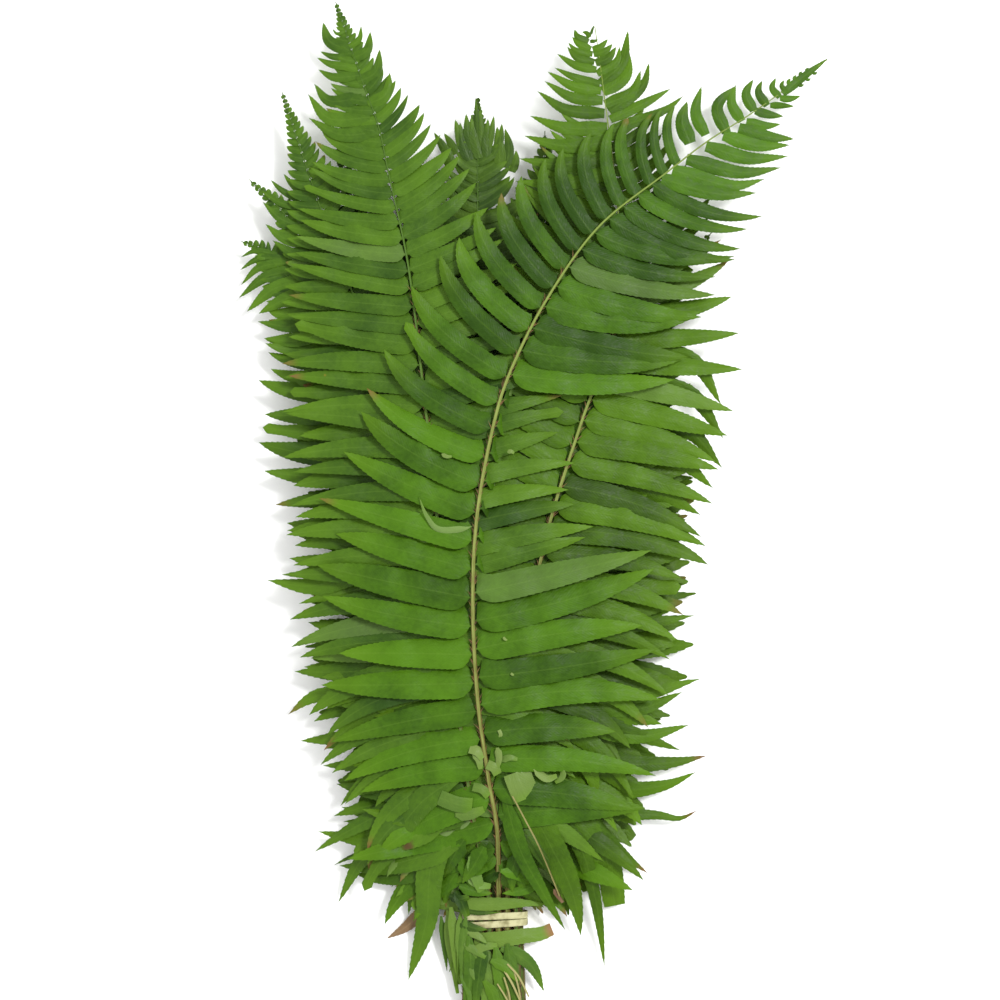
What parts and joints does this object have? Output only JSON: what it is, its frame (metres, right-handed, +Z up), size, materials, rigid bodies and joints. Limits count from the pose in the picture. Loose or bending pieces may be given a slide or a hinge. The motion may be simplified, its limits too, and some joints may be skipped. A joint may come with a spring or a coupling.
{
  "type": "tied bunch of sword fern fronds",
  "caption": "Tied bunch of cut sword fern fronds lying flat, long midribs with narrow toothed leaflets, held at the stalks by a pale band.",
  "frame": {"origin": "centre of the bunch's outline, on the surface it lies on", "axes": "+Y from the cut stalks to the frond tips, +X to the right seen from above, +Z up"},
  "size_m": [0.3549, 0.6394, 0.0524],
  "materials": {
    "frond_front": "waxy fresh leaf, mid green",
    "frond_left": "waxy fresh leaf, deeper green",
    "frond_right": "waxy fresh leaf, yellow green",
    "frond_back": "waxy fresh leaf, dull green",
    "band": "pale cream elastic",
    "loose_leaflet": "pale bruised leaf"
  },
  "bodies": {
    "root": {"frond_front": "frond_front", "frond_left_front": "frond_left", "frond_right_front": "frond_right", "frond_left_high": "frond_left", "frond_right_low": "frond_right", "frond_left_wide": "frond_left", "frond_centre_high": "frond_back", "frond_left_outer": "frond_left", "frond_centre_right": "frond_back", "frond_left_inner": "frond_back", "frond_right_inner": "frond_right", "frond_left_centre": "frond_back", "frond_right_outer": "frond_right", "frond_under_centre": "frond_back", "frond_under_right": "frond_back", "frond_under_left": "frond_back", "frond_bottom_right": "frond_back", "frond_bottom_left": "frond_back", "tie_band": "band", "loose_leaflet_above": "loose_leaflet", "loose_leaflet_below": "loose_leaflet"}
  },
  "joints": []
}
